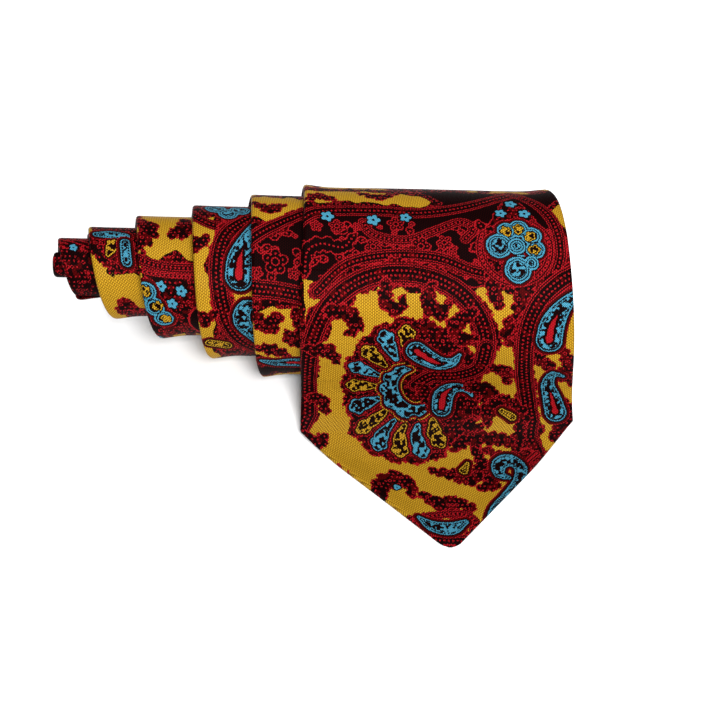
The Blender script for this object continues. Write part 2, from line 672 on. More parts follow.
    # Lower part
    w.flame([(35, 40, 1.8), (28, 46, 2.2), (19, 47.5, 2.2), (11, 46, 1.8), (7, 43, 1.0)], 4)
    w.flame([(31, 46, 1.4), (29, 56, 2.4), (24, 61, 2.8), (18, 58, 2.6), (18, 53, 1.2)], 5)
    w.flame([(33, 42, 1.4), (25, 40, 1.8), (19, 43, 1.2)], 12)
    w.drop([(22.5, 57.5, 1.1), (26, 55.5, 1.4)], "gold", core=False)
    w.flame([(15, 43, 1.4), (16, 36, 2.2), (11, 30.5, 2.6), (4, 32.5, 2.2), (-1, 33.5, 1.2)], 6)
    w.drop([(9.5, 34, 1.5), (11.5, 37.5, 0.6)], "gold", core=False)
    w.flame([(14, 27, 1.4), (19, 28, 2.0), (17, 33, 1.4)], 9)
    w.ribbon([(36, 42), (32, 38), (31.5, 33), (28, 28)], 1.3)
    w.drop(
        [
            (24.5, 31, 0.8), (21.5, 33, 1.9), (22.5, 37.5, 2.5), (26.5, 39, 2.5), (29.3, 35.5, 2.2),
            (27.5, 29.5, 1.8), (22, 22.5, 1.5), (17, 16.5, 1.6), (13, 9, 0.8),
        ],
        core=False,
    )
    w.flame([(-6, 23, 1.4), (-1, 19, 2.6), (4, 20, 2.6), (9, 18, 1.6)], 7)
    w.ribbon([(-26, 20), (-14, 12), (-4, 14), (6, 15), (10, 11), (8, 6)], 1.7, fringe=1.4)
    w.ribbon([(-20, 12), (-8, 5), (2, 3.5), (12, 6)], 2.3)
    w.drop([(-9, 13, 0.6), (-5, 9.5, 2.2), (1, 8.6, 2.6), (6.5, 11.5, 1.0)], core=False)

    # Second turn
    if w.patch(((-46, 268), (2, 352))):
        u, v = w.here()
        side = np.minimum(np.minimum(-2 - u, v - 268), 352 - v)
        side = side + 5 * (noise(u / 3.0, v / 3.4, 21) - 0.5)
        w.lace(side, 22)
        w.paint("dark", side - 3)
        d = v - 333 - 1.5 * np.sin(u / 2) - 0.3 * np.maximum(u + 30, 0)
        d = np.minimum(d, side - 3)
        w.lace(np.minimum(d + 3, side), 3, rough=1.6)
        w.paint("gold", d)
        d = 11 - np.hypot(0.6 * (u + 25), v - 292) + 3 * (noise(u / 3, v / 3, 3) - 0.5)
        w.lace(d + 4, 7, rough=1.6)
        w.paint("gold", d)
    w.scatter(((-44, 311), (-6, 330)), 6.2, 9)
    w.ribbon([(-46, 316), (-38, 323), (-29, 330), (-16, 338)], 2.6, fringe=1.5)
    w.flame([(-34, 342, 1.2), (-29, 339, 2.4), (-25, 342, 1.4)], 2)
    w.rosette(-28, 317.5, 4.6, 1)
    w.ribbon([(-46, 309), (-33, 308.5), (-22, 307), (-10, 304)], 3.2, 2)
    w.flame([(-37, 301, 1.4), (-32, 296, 2.8), (-29, 299, 2.0)], 5)
    w.flame([(-22, 301, 1.6), (-20, 294, 2.8), (-24, 290, 2.4), (-26, 293, 1.2)], 6)
    w.flame([(-36, 288, 1.4), (-31, 286, 2.2), (-27, 284, 1.4)], 3)
    w.drop([(-36, 281.5, 0.5), (-31, 279, 1.7), (-26, 279, 2.3), (-21, 279, 2.6)])

    # Third turn
    if w.patch(((-42, 446), (4, 530))):
        u, v = w.here()
        w.lace(99 + 0 * u, 4)
        d = -22.5 - u + 0.12 * (v - 487) + 3.4 * (noise(u / 2, v / 3.4, 5) - 0.5)
        w.lace(d + 3, 5, rough=1.6)
        w.paint("gold", np.minimum(d, 505 + 0.4 * (u + 30) - v))
        d = 9 - np.hypot(u + 9, (v - 478) * 0.7) + 2 * (noise(u / 2, v / 2, 5) - 0.5)
        w.lace(d + 2, 8)
        w.paint("gold", d)
    w.ribbon([(-34, 521), (-28, 509), (-20, 504), (-10, 505), (-2, 512)], 2.4)
    for r in (7.6, 5.6):
        w.ribbon([(-14 + r * math.cos(t), 516 + r * math.sin(t)) for t in np.linspace(3.0, 6.4, 8)], 0.8)
    w.ribbon(
        [(-8, 509), (-17, 500), (-20.5, 488), (-20, 474), (-16.5, 462), (-8, 452)], 3.4, 2, fringe=1.6,
    )
    w.cloud([(-20, 515.5, 3.6), (-15.8, 511.5, 3.5), (-11.5, 514.5, 3.6)])
    w.drop([(-13.8, 485.5, 4.6), (-13, 491, 4.2), (-10.5, 498, 2.6), (-7.5, 505, 0.8)])
    w.drop(
        [(-8, 456, 0.7), (-11, 463, 2.2), (-14.5, 470, 3.0), (-12.5, 475.5, 2.2), (-8, 476, 0.9)],
        core=False,
    )
    w.flame([(-33, 500, 1.4), (-28, 496, 2.4), (-24, 498, 1.4)], 4)
    w.flame([(-31, 474, 1.0), (-27, 471, 2.2), (-24, 473, 1.4)], 5)
    w.drop([(-27, 461, 1.6), (-22, 458.5, 2.0)], "gold", core=False)

    # Fourth turn
    if w.patch(((-34, 598), (6, 657))):
        u, v = w.here()
        w.lace(99 + 0 * u, 9)
        d = v - 632 - 2.0 * np.sin(u / 2.2) + 3.4 * (noise(u / 2.4, v / 2.4, 4) - 0.5)
        w.lace(d + 2.5, 4, rough=1.6)
        w.paint("gold", d)
        d = -22 - u + 1.2 * (noise(u / 2, v / 2, 3) - 0.5)
        w.lace(d + 1.5, 4)
        w.paint("gold", np.minimum(d, v - 622))
        w.paint("dark", 8.5 - np.hypot(u + 1, v - 607))
        w.paint("bright", 0.3 - np.abs(8.8 - np.hypot(u + 1, v - 607)))
        w.paint("dark", 7 - np.hypot(u + 24, v - 611))
    w.flame([(-25, 648, 1.8), (-18, 643, 3.0), (-20, 637, 2.4), (-23, 634, 1.2)], 3)
    w.flame([(-5, 648, 1.6), (-6, 642, 3.0), (-10, 640, 1.6)], 4)
    w.ribbon([(-26, 631.5), (-18, 628.5), (-8, 627.5), (4, 628)], 1.9)
    w.ribbon([(-26, 627.5), (-18, 625.5), (-8, 624.8), (4, 625)], 0.9)
    w.blossom(-16.5, 621.5, 1.9)
    w.blossom(-9.8, 620, 2.0)
    w.blossom(-13.8, 615.5, 1.9)
    w.cloud([(-21.6, 619.8, 3.2), (-20, 614.6, 3.3), (-18, 609.8, 3.2)], inside=1.7, fill=True)
    for u0, v0, way in ((-21.6, 618.8, 110), (-20.2, 614.6, 10), (-18.2, 610.6, -50)):
        w.petal(u0, v0, way, 1.6, 1.4, "gold", 4, halo=False)

    # Fifth turn and the end of the roll
    if w.patch(((-30, 698), (8, 767))):
        u, v = w.here()
        w.lace(99 + 0 * u, 2)
        d = -13.5 - u + 2.6 * (noise(u / 2, v / 3, 6) - 0.5)
        strip = -17.5 - u + 1.6 * (noise(u / 2, v / 2.5, 3) - 0.5)
        low = 6.5 - np.abs(v - 724) + 3.4 * (noise(u / 2.5, v / 2.5, 7) - 0.5)
        d = np.maximum(np.minimum(d, 738 - v), np.maximum(strip, low))
        w.lace(d + 1.2, 6, rough=1.8)
        w.paint("gold", d)
    w.flame([(-14, 716, 1.4), (-11, 720, 2.4), (-8, 717, 1.2)], 3)
    w.flame([(-20, 745, 1.4), (-17, 740, 2.4), (-14, 735, 1.4)], 7)
    w.drop([(-16, 745.5, 1.2), (-11, 746, 2.0), (-6, 745, 1.6)], core=False)
    w.petal(-12.8, 737.5, 60, 4.8, 1.9, "gold", 4)
    w.drop([(-6.3, 742, 1.7), (-6.8, 735.5, 1.8)], core=False)
    if w.patch(((-32, 772), (10, 832))):
        u, v = w.here()
        w.lace(99 + 0 * u, 3)
        w.paint("bright", np.minimum(0.25 - repeat(v + u * 0.4, 1.9), v - 811))
    w.blossom(-14, 812.5, 1.5)


# ------------------------------------------------------------ the meshes


def wave(v, x):
    """Small swells of the cloth, in mm of depth."""
    return 0.1 * np.sin(v / 17 + x / 31) + 0.08 * np.sin(v / 7.3 - x / 12 + 1.3)


def wander(v):
    return 0.22 * np.sin(v / 23 + 0.7) + 0.12 * np.sin(v / 9.1)


class Rows:
    """Rings across one half of the tie, from one place on its path to another."""

    def __init__(self, v, place, edges, hem, angle, tail=False):
        self.v, self.place, self.tail = v, place, tail
        # Swells and lifted edges calm down where the next turn is close
        drift = DRIFT * np.cos(math.pi - np.radians(angle) - DRIFT_DIR)
        room = np.where(angle < 320, 9, INNER_PITCH - 2 * TIE_T - HALF_GAP - drift)
        self.free = np.clip((room - 0.32) / 1.1, 0.1, 1)
        left, right = edges
        calm = np.clip(v / 60, 0, 1)
        tip = np.clip(v / 1.6, 0, 1) if v.min() < 1 else np.ones_like(v)
        round_off = np.sqrt(1 - (1 - tip) ** 2)
        inset = (1 - round_off) * (TIP_W / 2 - 0.4)
        self.thin = 0.35 + 0.65 * round_off
        self.left = left + wander(v) * calm + inset
        self.right = right + wander(v + 40) * calm - inset
        self.middle = (left + right) / 2
        self.f0 = np.minimum(self.middle - SLOT / 2, self.left + hem)
        self.f1 = np.maximum(self.middle + SLOT / 2, self.right - hem)


def hem_at(v, end, start, widest):
    return np.interp(v, [end, start], [HEM, widest])


def evenly(start, end, pitch):
    n = max(2, int(math.ceil(abs(end - start) / pitch)) + 1)
    return np.linspace(start, end, n)


ANGLES = np.arange(0, WOUND_ANGLE + 30.0)
DISTANCES = blade_distance(ANGLES)


TIP_STEPS = (0.0, 0.05, 0.18, 0.4, 0.7, 1.1)


def blade_rows(v0, v1, pitch):
    v = evenly(v0, v1, pitch) if v0 > 0 else np.concatenate([TIP_STEPS, evenly(1.6, v1, pitch)])
    a = np.where(v > FLAP_LENGTH, np.interp(v, DISTANCES, ANGLES), 0)
    on = (v > FLAP_LENGTH)[:, None]

    def place(depth):
        flap = on_flap(FLAP_LENGTH - np.minimum(v, FLAP_LENGTH)[:, None], depth)
        roll = on_roll(a[:, None], depth)
        return np.where(on, roll[0], flap[0]), np.where(on, roll[1], flap[1])

    return Rows(v, place, blade_edges(v, a), hem_at(v, 75, 128, BLADE_W / 2), a)


def wound_rows(a0, a1, pitch):
    return blade_rows(float(blade_distance(a0)), float(blade_distance(a1)), pitch)


def tail_rows(a0, a1, pitch):
    length = float(tail_distance(a1) - tail_distance(a0))
    n = max(2, int(math.ceil(abs(length) / pitch)) + 1)
    a = np.linspace(a0, a1, n)
    if a1 == TAIL_END:
        turn = (a0 - a1) / abs(length)
        tip = TAIL_END + np.array(TIP_STEPS[::-1]) * turn
        a = np.concatenate([a[a > TAIL_END + 1.5 * turn], tip])

    def place(depth):
        return on_roll(a[:, None], 2 * TIE_T + HALF_GAP - depth)

    v = tail_distance(a)
    return Rows(v, place, tail_edges(a), hem_at(v, 34, 64, TAIL_W / 2), a, True)


def core_rows(a0, pitch):
    """The last of the blade half, the fold and the first of the tail half."""
    blade = wound_rows(a0, WOUND_ANGLE, pitch)
    b = np.linspace(0, 180, 25)[1:-1]
    v_fold = float(blade_distance(WOUND_ANGLE)) + b / 180 * math.pi * TIE_T
    tail = tail_rows(WOUND_ANGLE, a0, pitch)
    nb, nf = len(blade.v), len(b)
    v = np.concatenate([blade.v, v_fold, v_fold[-1] + tail_distance(WOUND_ANGLE) - tail.v])
    left, right = blade_edges(np.float64(9e3), np.float64(WOUND_ANGLE))
    edges = (
        np.concatenate([blade.left, np.full(nf, left), tail.left]),
        np.concatenate([blade.right, np.full(nf, right), tail.right]),
    )

    def place(depth):
        depth = np.broadcast_to(depth, (len(v), np.shape(depth)[-1]))
        parts = (
            blade.place(depth[:nb]), on_fold(b[:, None], depth[nb : nb + nf]),
            tail.place(depth[nb + nf :]),
        )
        return tuple(np.concatenate([p[k] for p in parts]) for k in (0, 1))

    rows = Rows(v, place, edges, np.full(len(v), NECK_W / 2), np.full(len(v), WOUND_ANGLE))
    rows.free = np.concatenate([blade.free, np.full(nf, blade.free[-1]), tail.free])
    return rows


class Columns:
    """A closed profile. Each point is a mix of the ring's four marks (the left and
    right edges and the inner ends of the two back flaps), a shift and a depth."""

    def __init__(self):
        self.mix, self.shift, self.deep, self.back, self.cloth = [], [], [], [], []
        self.chain = 0

    def add(self, mix, shift, deep, back, cloth):
        for kept, value in zip(self.kept(), (mix, shift, deep, back, cloth)):
            kept.append(value)

    def kept(self):
        return self.mix, self.shift, self.deep, self.back, self.cloth

    def bend(self, mark, shift, turns, height, side):
        """Round an edge, over turns of half a circle."""
        for t in turns:
            deep = TIE_T / 2 + height * math.cos(t)
            self.add(mark, shift(math.sin(t)), deep, (1 + math.cos(t)) / 2, side(t))

    def line(self, fractions, a, b, deep, back, cloth):
        """From mark a to mark b, each (mix, shift)."""
        for f in fractions:
            mix = tuple(p * (1 - f) + q * f for p, q in zip(a[0], b[0]))
            self.add(mix, a[1] * (1 - f) + b[1] * f, deep, back, cloth)

    def arrays(self):
        return [np.array(x) for x in self.kept()]


LEFT, RIGHT, FLAP_0, FLAP_1 = (1, 0, 0, 0), (0, 1, 0, 0), (0, 0, 1, 0), (0, 0, 0, 1)
EDGE_R = 1.25


def shell_columns(front, back_n, edge_n=9):
    """The silk: its front, round both edges and back to the slot, then inside."""
    c = Columns()
    half = TIE_T / 2
    inner_r, inner = EDGE_R - SILK_T, half - SILK_T
    turns = np.linspace(0, math.pi, edge_n)
    back = np.linspace(0, 1, back_n)
    c.line(back[:-1], (FLAP_0, 0), (LEFT, EDGE_R), TIE_T, 1, -1)
    c.bend(LEFT, lambda s: EDGE_R * (1 - s), turns, half, lambda t: -1 if t < 1.5 else 0)
    c.line(front[1:-1], (LEFT, EDGE_R), (RIGHT, -EDGE_R), 0, 0, 0)
    c.bend(RIGHT, lambda s: -EDGE_R * (1 - s), turns[::-1], half, lambda t: 1 if t < 1.5 else 0)
    c.line(back[::-1][1:], (FLAP_1, 0), (RIGHT, -EDGE_R), TIE_T, 1, 1)
    c.chain = len(c.deep)
    inside_back = np.linspace(0, 1, 5)
    c.line(inside_back[:-1], (FLAP_1, 0), (RIGHT, -EDGE_R), TIE_T - SILK_T, 1, 1)
    c.bend(RIGHT, lambda s: -EDGE_R + inner_r * s, turns[::2], inner, lambda t: 0)
    c.line(np.linspace(0, 1, 12)[1:-1], (RIGHT, -EDGE_R), (LEFT, EDGE_R), SILK_T, 0, 0)
    c.bend(LEFT, lambda s: EDGE_R - inner_r * s, turns[::-2], inner, lambda t: 0)
    c.line(inside_back[::-1][1:], (FLAP_0, 0), (LEFT, EDGE_R), TIE_T - SILK_T, 1, -1)
    return c


def band_columns(a, b, top, bottom, n=9):
    """A plain layer between two marks and two depths."""
    c = Columns()
    f = np.linspace(0, 1, n)
    c.line(f, a, b, top, 0, 0)
    c.line(f[::-1], a, b, bottom, 1, 0)
    return c


def front_fractions(width, fine, pitch, coarse=0.8):
    """Shares of the width: fine over the first mm from the left, then coarse."""
    if fine >= width:
        return np.linspace(0, 1, int(width / pitch) + 1)
    a = np.linspace(0, fine / width, int(fine / pitch) + 1)
    return np.concatenate([a, np.linspace(a[-1], 1, int((width - fine) / coarse) + 2)[1:]])


def grid_faces(rows, columns):
    """Quads round a closed profile and both ends, as in a ladder."""
    i = np.arange(rows - 1)[:, None] * columns
    j = np.arange(columns)
    k = (j + 1) % columns
    walls = np.stack([i + j, i + k, i + columns + k, i + columns + j], -1)
    return walls.reshape(-1, 4)


def cap_faces(ring, chain, first, flip):
    """Triangles across the end of a profile, between its first chain of points and
    the rest, which runs back along the other side. Each takes the shorter rung."""
    there, rest = list(range(chain)), list(range(len(ring) - 1, chain - 1, -1))
    faces, i, j = [], 0, 0
    while i < len(there) - 1 or j < len(rest) - 1:
        forward, back = 9.0, 9.0
        if i < len(there) - 1:
            forward = math.dist(ring[there[i + 1]], ring[rest[j]])
        if j < len(rest) - 1:
            back = math.dist(ring[there[i]], ring[rest[j + 1]])
        if forward <= back:
            faces.append([there[i], there[i + 1], rest[j]])
            i += 1
        else:
            faces.append([there[i], rest[j + 1], rest[j]])
            j += 1
    faces = np.array(faces) + first
    return faces[:, ::-1] if flip else faces


def mesh_object(name, points, walls, caps, material):
    """A mesh of smooth quads and flat triangles."""
    me = bpy.data.meshes.new(name)
    me.vertices.add(len(points))
    me.vertices.foreach_set("co", points.astype(np.float32).ravel())
    loops = np.concatenate([walls.ravel(), caps.ravel()]).astype(np.int32)
    starts = np.concatenate(
        [np.arange(len(walls)) * 4, walls.size + np.arange(len(caps)) * 3]
    ).astype(np.int32)
    me.loops.add(len(loops))
    me.loops.foreach_set("vertex_index", loops)
    me.polygons.add(len(starts))
    me.polygons.foreach_set("loop_start", starts)
    me.update(calc_edges=True)
    me.polygons.foreach_set("use_smooth", np.arange(len(starts)) < len(walls))
    me.materials.append(material)
    ob = bpy.data.objects.new(name, me)
    bpy.context.scene.collection.objects.link(ob)
    return ob


def sweep(name, rows, columns, material, lift=(0.0, 0.0), pattern=False):
    """The band that a profile leaves along rows, with the cloth's plane and pattern."""
    mix, shift, deep, back, cloth = columns.arrays()
    marks = np.stack([rows.left, rows.right, rows.f0, rows.f1], -1)
    x = marks @ mix.T + shift
    rise = sum(
        h * np.exp(-((np.maximum(room, 0) / 6.0) ** 2))
        for h, room in (
            (lift[0], x - rows.left[:, None]),
            (lift[1], rows.right[:, None] - x),
        )
    )
    thin = rows.thin[:, None]
    depth = TIE_T / 2 + (deep - TIE_T / 2) * thin + (1 - thin) * 0.4 * TIE_T
    calm = np.clip(rows.v / 30, 0, 1) * (0.35 + 0.65 * rows.free)
    depth = depth + wave(rows.v[:, None], x) * calm[:, None]
    rise = rise * rows.free[:, None] * np.clip(rows.v[:, None] / 20, 0, 1)
    depth = depth + rise * (0.25 * back - (1 - back))
    y, z = rows.place(depth)
    points = in_frame(x, y, np.maximum(z, 0.01)).reshape(-1, 3)
    nr, nc = len(rows.v), len(deep)
    chain = columns.chain or nc // 2
    start, end = points[:nc].tolist(), points[-nc:].tolist()
    caps = [cap_faces(start, chain, 0, True), cap_faces(end, chain, (nr - 1) * nc, False)]
    ob = mesh_object(name, points, grid_faces(nr, nc), np.concatenate(caps), material)
    middle = rows.middle[:, None]
    half = (rows.right - rows.left)[:, None] / 2
    u = x - middle
    u = np.where(cloth < 0, -2 * half - u, np.where(cloth > 0, 2 * half - u, u))
    v = np.broadcast_to(rows.v[:, None], u.shape)
    plane = np.stack([u, v, np.zeros_like(u)], -1).reshape(-1, 3)
    a = ob.data.attributes.new("cloth", "FLOAT_VECTOR", "POINT")
    a.data.foreach_set("vector", plane.astype(np.float32).ravel())
    if pattern:
        fields = silk_pattern(u, v, rows.tail).reshape(-1, 4)
        a = ob.data.attributes.new("threads", "FLOAT_COLOR", "POINT")
        a.data.foreach_set("color", fields.astype(np.float32).ravel())
    return ob


# ---------------------------------------------------------------- materials


class Tree:
    """The nodes of one material."""

    def __init__(self, name):
        self.material = bpy.data.materials.new(name)
        self.material.use_nodes = True
        self.t = self.material.node_tree
        self.t.nodes.clear()
        self.shader = self.t.nodes.new("ShaderNodeBsdfPrincipled")
        out = self.t.nodes.new("ShaderNodeOutputMaterial")
        self.t.links.new(self.shader.outputs[0], out.inputs[0])

    def link(self, value, socket):
        if hasattr(value, "is_output"):
            self.t.links.new(value, socket)
        elif isinstance(value, tuple) and len(value) == 3 and socket.type == "RGBA":
            socket.default_value = (*value, 1)
        else:
            socket.default_value = value

    def attribute(self, name):
        n = self.t.nodes.new("ShaderNodeAttribute")
        n.attribute_name = name
        return n

    def math(self, op, a, b=0.0, c=0.0):
        n = self.t.nodes.new("ShaderNodeMath")
        n.operation = op
        for i, x in enumerate((a, b, c)):
            self.link(x, n.inputs[i])
        return n.outputs[0]

    def split(self, vector):
        n = self.t.nodes.new("ShaderNodeSeparateXYZ")
        self.link(vector, n.inputs[0])
        return n.outputs

    def mix(self, share, a, b):
        n = self.t.nodes.new("ShaderNodeMix")
        n.data_type = "RGBA"
        self.link(share, n.inputs[0])
        self.link(a, n.inputs[6])
        self.link(b, n.inputs[7])
        return n.outputs[2]

    def step(self, value, low, high, to_low=0.0, to_high=1.0):
        n = self.t.nodes.new("ShaderNodeMapRange")
        n.interpolation_type = "SMOOTHSTEP"
        for i, x in enumerate((value, low, high, to_low, to_high)):
            self.link(x, n.inputs[i])
        return n.outputs[0]

    def noise(self, vector, scale, detail=2.0):
        n = self.t.nodes.new("ShaderNodeTexNoise")
        self.link(vector, n.inputs["Vector"])
        n.inputs["Scale"].default_value = scale
        n.inputs["Detail"].default_value = detail
        return n.outputs["Fac"]

    def bump(self, height, strength, distance):
        n = self.t.nodes.new("ShaderNodeBump")
        n.inputs["Strength"].default_value = strength
        n.inputs["Distance"].default_value = distance
        self.link(height, n.inputs["Height"])
        self.t.links.new(n.outputs[0], self.shader.inputs["Normal"])

    def set(self, **values):
        for k, x in values.items():
            self.link(x, self.shader.inputs[k.replace("_", " ")])
        return self.material


def lattice(k, u, v, pitch_u, pitch_v):
    """Staggered threads from 0 to 1: columns of floats, half a step apart."""
    col = k.math("DIVIDE", u, pitch_u)
    index = k.math("FLOOR", col)
    odd = k.math("MODULO", k.math("ABSOLUTE", index), 2.0)
    row = k.math("ADD", k.math("DIVIDE", v, pitch_v), k.math("MULTIPLY", odd, 0.5))
    a = k.math("SUBTRACT", k.math("FRACT", col), 0.5)
    b = k.math("SUBTRACT", k.math("FRACT", row), 0.5)
    r = k.math("SQRT", k.math("ADD", k.math("MULTIPLY", a, a), k.math("MULTIPLY", b, b)))
    return k.math("SUBTRACT", 1.0, k.math("MULTIPLY", r, 1.5))


def silk_material():
    k = Tree("jacquard_silk")
    cloth = k.attribute("cloth").outputs["Vector"]
    u, v, _ = k.split(cloth)
    threads = k.attribute("threads")
    deep, bright, gold = k.split(threads.outputs["Color"])
    blue = threads.outputs["Alpha"]
    weave = lattice(k, u, v, 0.6, 0.96)
    ribs = k.math("SINE", k.math("MULTIPLY", k.math("ADD", u, v), 2 * math.pi / 0.62))
    grain = k.noise(cloth, 2.6, 3.0)
    cloud = k.noise(cloth, 0.09, 2.0)
    jag = k.math("MULTIPLY", k.math("SUBTRACT", weave, 0.45), 0.22)

    def on(field):
        return k.step(k.math("ADD", field, jag), -0.07, 0.07)

    gaps = k.step(weave, 0.25, 0.62)
    dark = k.mix(gaps, (0.0008, 0.0002, 0.0002), (0.008, 0.0003, 0.0005))
    deep_c = k.mix(gaps, (0.028, 0.0002, 0.0004), (0.055, 0.0005, 0.0008))
    bright_c = k.mix(gaps, (0.16, 0.0022, 0.0040), (0.30, 0.0065, 0.0110))
    gold_c = k.mix(k.step(weave, 0.2, 0.55), (0.105, 0.045, 0.002), (0.42, 0.235, 0.014))
    blue_c = k.mix(k.step(ribs, -0.6, 0.3), (0.008, 0.045, 0.070), (0.065, 0.29, 0.42))
    colour = dark
    for field, c in ((deep, deep_c), (bright, bright_c), (gold, gold_c), (blue, blue_c)):
        colour = k.mix(on(field), colour, c)
    shade = k.step(grain, 0.25, 0.75, 0.72, 1.18)
    shade = k.math("MULTIPLY", shade, k.step(cloud, 0.2, 0.8, 0.92, 1.06))
    # A deeper tone towards the tip, as the photograph shows it
    tone = k.step(v, 35.0, 105.0, 0.76, 0.96)
    shade = k.math("MULTIPLY", shade, tone)
    n = k.t.nodes.new("ShaderNodeVectorMath")
    n.operation = "SCALE"
    k.link(colour, n.inputs[0])
    k.link(shade, n.inputs["Scale"])
    floats = k.math("MAXIMUM", on(gold), on(blue))
    height = k.math(
        "ADD", k.math("MULTIPLY", weave, 0.5),
        k.math("MULTIPLY", k.math("MAXIMUM", floats, on(bright)), 0.55),
    )
    k.bump(height, 0.55, 0.00012)
    rough = k.step(k.math("MAXIMUM", floats, on(bright)), 0.0, 1.0, 0.52, 0.40)
    m = k.set(Base_Color=n.outputs[0], Roughness=rough)
    s = k.shader.inputs
    s["Sheen Weight"].default_value = 0.003
    s["Sheen Roughness"].default_value = 0.4
    s["Sheen Tint"].default_value = (1.0, 0.75, 0.7, 1)
    s["Specular IOR Level"].default_value = 0.012
    return m


def cloth_material(name, light, shadow, pitch, rough, strength=0.5):
    """A plain weave of two crossing sets of threads."""
    k = Tree(name)
    cloth = k.attribute("cloth").outputs["Vector"]
    u, v, _ = k.split(cloth)
    a = k.math("SINE", k.math("MULTIPLY", u, 2 * math.pi / pitch))
    b = k.math("SINE", k.math("MULTIPLY", v, 2 * math.pi / pitch))
    over = k.math("MULTIPLY", a, b)
    grain = k.noise(cloth, 1.9, 4.0)
    height = k.math("ADD", k.math("MULTIPLY", over, 0.5), grain)
    share = k.step(height, 0.0, 1.1)
    k.bump(height, strength, 0.00015)
    m = k.set(
        Base_Color=k.mix(share, shadow, light),
        Roughness=k.step(grain, 0.3, 0.7, rough - 0.08, rough + 0.08),
    )
    k.shader.inputs["Sheen Weight"].default_value = 0.2
    k.shader.inputs["Specular IOR Level"].default_value = 0.3
    return m


def thread_material():
    k = Tree("twisted_thread")
    cloth = k.attribute("cloth").outputs["Vector"]
    u, v, _ = k.split(cloth)
    twist = k.math(
        "SINE", k.math("MULTIPLY", k.math("ADD", v, k.math("MULTIPLY", u, 0.6)), 2 * math.pi / 0.5),
    )
    grain = k.noise(cloth, 3.0, 3.0)
    height = k.math("ADD", twist, grain)
    k.bump(height, 0.5, 0.00008)
    return k.set(
        Base_Color=k.mix(k.step(height, -0.6, 1.4), (0.12, 0.004, 0.007), (0.42, 0.02, 0.03)),
        Roughness=k.step(grain, 0.2, 0.8, 0.5, 0.65),
    )


silk = silk_material()
canvas_wool = cloth_material("canvas_wool", (0.72, 0.66, 0.53), (0.42, 0.37, 0.28), 1.1, 0.85, 0.8)
lining = cloth_material("lining_satin", (0.05, 0.010, 0.014), (0.012, 0.003, 0.004), 0.4, 0.42, 0.3)
label_satin = cloth_material(
    "label_satin", (0.045, 0.040, 0.043), (0.010, 0.009, 0.010), 0.35, 0.40, 0.35,
)
thread = thread_material()

# ------------------------------------------------------------ the pieces


def zone(n):
    """Angles between which the cloth passes from one turn to the next behind."""
    return 140 + 360 * (n - 1), 320 + 360 * (n - 1)


BODIES = ["roll", "turn_2", "turn_3", "turn_4", "turn_5", "core"]


def on_bodies(piece, n=None, blend=None, body=None, tail=False):
    """Rides on one body, or passes from one to the next behind the roll."""
    if blend is not None:
        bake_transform(piece)
    elif n is not None:
        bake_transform(piece)
    else:
        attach(piece, body)


def flap_at(down):
    y, z = on_flap(np.float64(down), TIE_T / 2)
    return (0.0, (float(y) + SHIFT_Y) * MM, float(z) * MM)


V_BEND = FLAP_LENGTH - FLAP_DROP
# Angles on the roll where the flap's blends start and end
FRONT_LOW, FRONT, TOP = 8, 52, 98
V_FRONT, V_SIDE = (float(blade_distance(a)) for a in (FRONT, 140))

# Parts of the blade half: name, from, to, how it moves, row pitch, and the width and
# pitch of the fine columns from the left
FINE = 0.34
WHOLE = 99
BEND_ENDS = flap_at(FLAP_DROP), flap_at(FLAP_DROP + BEND_LENGTH)
POINT_MOVE = {"blend": ("flap_front", "flap_point", *BEND_ENDS)}
DROP_MOVE = {"blend": ("flap_top", "flap_front", at(FRONT), at(FRONT_LOW))}
TOP_MOVE = {"blend": ("roll", "flap_top", at(TOP), at(FRONT))}
PARTS = [
    ("point", 0.0, V_BEND, POINT_MOVE, FINE, WHOLE, FINE),
    ("drop", V_BEND, V_FRONT, DROP_MOVE, FINE, WHOLE, FINE),
    ("top", V_FRONT, V_SIDE, TOP_MOVE, FINE, WHOLE, FINE),
]
for n in range(1, 6):
    a, b = zone(n)
    v0, v1 = float(blade_distance(a)), float(blade_distance(b))
    fine = (WHOLE, FINE) if n == 1 else (30, 0.5)
    PARTS.append((f"back_{n}", v0, v1, {"n": n}, 0.5, *fine))
    if n < 5:
        v2 = float(blade_distance(b + 180))
        PARTS.append((f"front_{n + 1}", v1, v2, {"body": BODIES[n]}, FINE, 25, FINE))

SHELL_NODES = {"point": "blade_shell_point", "drop": "blade_shell_front", "top": "blade_shell_top"}
SHELL_NODES |= {"back_1": "blade_shell_turn_1", "front_5": "neck_shell_turn_5"}
SHELL_NODES |= {f"front_{n}": f"blade_shell_turn_{n}" for n in (2, 3, 4)}
STITCH_NODES = {"back_1": "blade_slip_stitch_1", "front_5": "neck_slip_stitch_5"}
STITCH_NODES |= {f"front_{n}": f"blade_slip_stitch_{n}" for n in (2, 3, 4)}


def node_list(table, key):
    """The CAD node that a piece stands for. The parts behind the roll have none."""
    return [table[key]] if key in table else []


def canvas_nodes(shells):
    return [x.replace("_shell_", "_canvas_") for x in shells]


def piece(name, rows, columns, material, slot, nodes, move, **look):
    """A swept band that stands for its CAD nodes and rides on their bodies."""
    ob = sweep(name, rows, columns, material, **look)
    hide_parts(*nodes)
    on_bodies(ob, **move)
    return ob


def silk_piece(name, rows, columns, nodes, move, lift):
    ob = piece(name, rows, columns, silk, "silk", nodes, move, lift=lift, pattern=True)


def canvas_piece(name, rows, nodes, move):
    inset = SILK_T + PLY_GAP
    columns = band_columns((LEFT, inset + 0.25), (RIGHT, -inset - 0.25), inset, TIE_T - inset, 17)
    ob = piece(name, rows, columns, canvas_wool, "canvas", nodes, move)


